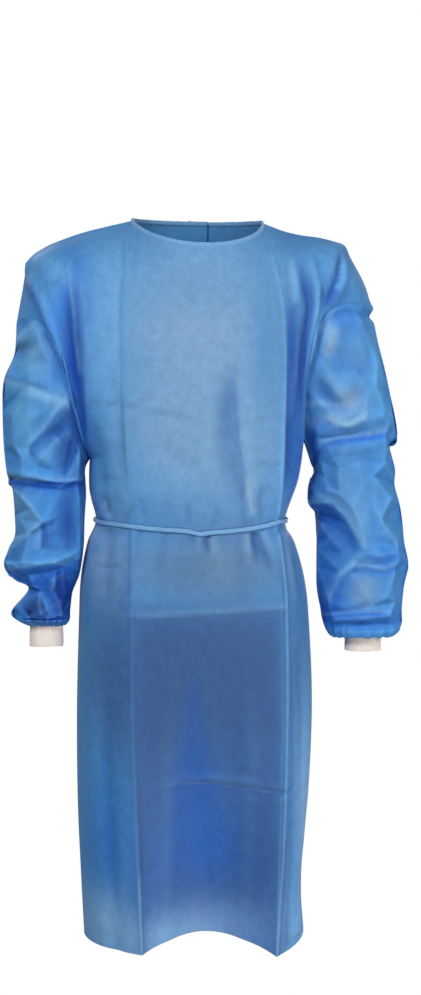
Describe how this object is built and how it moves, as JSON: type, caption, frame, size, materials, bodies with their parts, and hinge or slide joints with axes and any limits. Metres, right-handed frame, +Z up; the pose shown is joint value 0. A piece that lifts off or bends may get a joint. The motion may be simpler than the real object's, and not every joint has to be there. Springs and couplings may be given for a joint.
{
  "type": "isolation gown worn with no wearer",
  "caption": "Long-sleeved blue non-woven isolation gown in its hollow worn form, with knit cuffs, bound neck, lapped open back and a narrow waist tie.",
  "frame": {"origin": "middle of the neck opening, level with the sides of the neck, where the wearer's neck and shoulders hold the gown", "axes": "+Z up along the body, -Y towards the front of the gown, +X towards the wearer's left arm"},
  "size_m": [0.626, 0.2735, 1.1157],
  "materials": {
    "cloth": "matt blue non-woven, point bonded, slightly see-through",
    "sleeve_cloth": "matt blue non-woven, crumpled",
    "binding": "paler blue folded strip with a row of stitches",
    "tie": "paler blue folded strip",
    "knit": "white rib knit"
  },
  "bodies": {
    "root": {"front": "cloth", "back_left": "cloth", "back_right": "cloth", "sleeve_left": "sleeve_cloth", "sleeve_right": "sleeve_cloth", "cuff_left": "knit", "cuff_right": "knit", "neck_binding": "binding", "waist_tie": "tie", "neck_knot": "tie", "neck_end_left": "tie", "neck_end_right": "tie", "waist_knot": "tie", "waist_end_left": "tie", "waist_end_right": "tie"}
  },
  "joints": []
}
